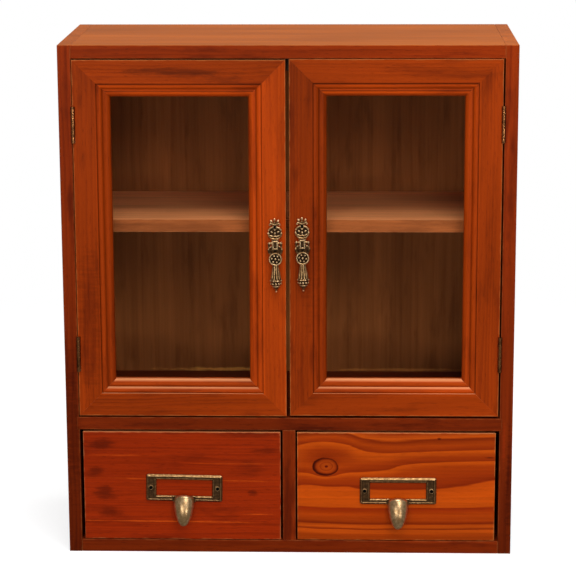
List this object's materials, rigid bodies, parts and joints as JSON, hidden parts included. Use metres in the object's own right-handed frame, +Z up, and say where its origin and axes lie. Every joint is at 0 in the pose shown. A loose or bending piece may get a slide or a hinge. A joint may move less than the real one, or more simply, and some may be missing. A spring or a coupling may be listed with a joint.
{
  "type": "desktop cabinet with doors",
  "caption": "Tabletop wooden cabinet with glazed hinged doors over drawers, an inner shelf, hanging drop pulls and label-holder drawer pulls.",
  "frame": {"origin": "centre of the case's footprint, on the surface that the cabinet stands on", "axes": "+Z up; -Y towards the front, where the doors and drawers are; +X to the right as seen from the front"},
  "size_m": [0.38, 0.1725, 0.438],
  "materials": {
    "case_wood": "red-brown stain under satin lacquer",
    "door_wood": "red-brown stain under satin lacquer",
    "left_drawer_wood": "red-brown stain under satin lacquer",
    "right_drawer_wood": "orange-brown stain under satin lacquer, with a knot",
    "inner_wood": "stained, matt",
    "back_wood": "stained, matt",
    "drawer_box_wood": "thin stain, matt",
    "antique_brass": "antiqued, dark in the recesses",
    "brass": "plated, slightly dulled",
    "steel": "zinc plated",
    "plastic": "brown, moulded",
    "glass": "clear"
  },
  "bodies": {
    "case": {"left_side": "case_wood", "right_side": "case_wood", "top_board": "case_wood", "bottom_board": "case_wood", "middle_board": "case_wood", "drawer_divider": "case_wood", "shelf": "inner_wood", "back_panel": "back_wood", "shelf_pegs": "inner_wood", "case_nails": "steel", "case_screws": "brass", "catch_housing": "plastic", "catch_magnets": "steel", "hinge_pins": "brass", "left_upper_hinge_case_leaf": "brass", "left_lower_hinge_case_leaf": "brass", "right_upper_hinge_case_leaf": "brass", "right_lower_hinge_case_leaf": "brass"},
    "left_door": {"left_door_hinge_stile": "door_wood", "left_door_meeting_stile": "door_wood", "left_door_top_rail": "door_wood", "left_door_bottom_rail": "door_wood", "left_door_glass": "glass", "left_door_glass_beads": "door_wood", "left_upper_hinge_door_leaf": "brass", "left_lower_hinge_door_leaf": "brass", "left_door_screws": "brass", "left_strike_plate": "steel", "left_pull_backplate": "antique_brass", "left_pull_nails": "antique_brass"},
    "left_pendant": {"left_pull_pendant": "antique_brass"},
    "left_drawer": {"left_drawer_front": "left_drawer_wood", "left_drawer_outer_side": "drawer_box_wood", "left_drawer_inner_side": "drawer_box_wood", "left_drawer_back": "drawer_box_wood", "left_drawer_bottom": "drawer_box_wood", "left_drawer_nails": "steel", "left_label_pull": "antique_brass", "left_label_pins": "antique_brass"},
    "right_door": {"right_door_hinge_stile": "door_wood", "right_door_meeting_stile": "door_wood", "right_door_top_rail": "door_wood", "right_door_bottom_rail": "door_wood", "right_door_glass": "glass", "right_door_glass_beads": "door_wood", "right_upper_hinge_door_leaf": "brass", "right_lower_hinge_door_leaf": "brass", "right_door_screws": "brass", "right_strike_plate": "steel", "right_pull_backplate": "antique_brass", "right_pull_nails": "antique_brass"},
    "right_pendant": {"right_pull_pendant": "antique_brass"},
    "right_drawer": {"right_drawer_front": "right_drawer_wood", "right_drawer_outer_side": "drawer_box_wood", "right_drawer_inner_side": "drawer_box_wood", "right_drawer_back": "drawer_box_wood", "right_drawer_bottom": "drawer_box_wood", "right_drawer_nails": "steel", "right_label_pull": "antique_brass", "right_label_pins": "antique_brass"}
  },
  "joints": [
    {"name": "left_door_hinge", "type": "hinge", "parent": "case", "child": "left_door", "pos_m": [-0.1781, -0.0806, 0.274], "axis": [0, 0, -1], "range_deg": [0, 170]},
    {"name": "left_pull_swing", "type": "hinge", "parent": "left_door", "child": "left_pendant", "pos_m": [-0.0109, -0.0842, 0.2729], "axis": [-0.9998, 0, -0.0209], "range_deg": [0, 100]},
    {"name": "left_drawer_slide", "type": "slide", "parent": "case", "child": "left_drawer", "axis": [0, -1, 0], "range_m": [0, 0.115]},
    {"name": "right_door_hinge", "type": "hinge", "parent": "case", "child": "right_door", "pos_m": [0.1781, -0.0806, 0.274], "axis": [0, 0, 1], "range_deg": [0, 170]},
    {"name": "right_pull_swing", "type": "hinge", "parent": "right_door", "child": "right_pendant", "pos_m": [0.0119, -0.0842, 0.2738], "axis": [-0.9998, 0, -0.0209], "range_deg": [0, 100]},
    {"name": "right_drawer_slide", "type": "slide", "parent": "case", "child": "right_drawer", "axis": [0, -1, 0], "range_m": [0, 0.115]}
  ]
}
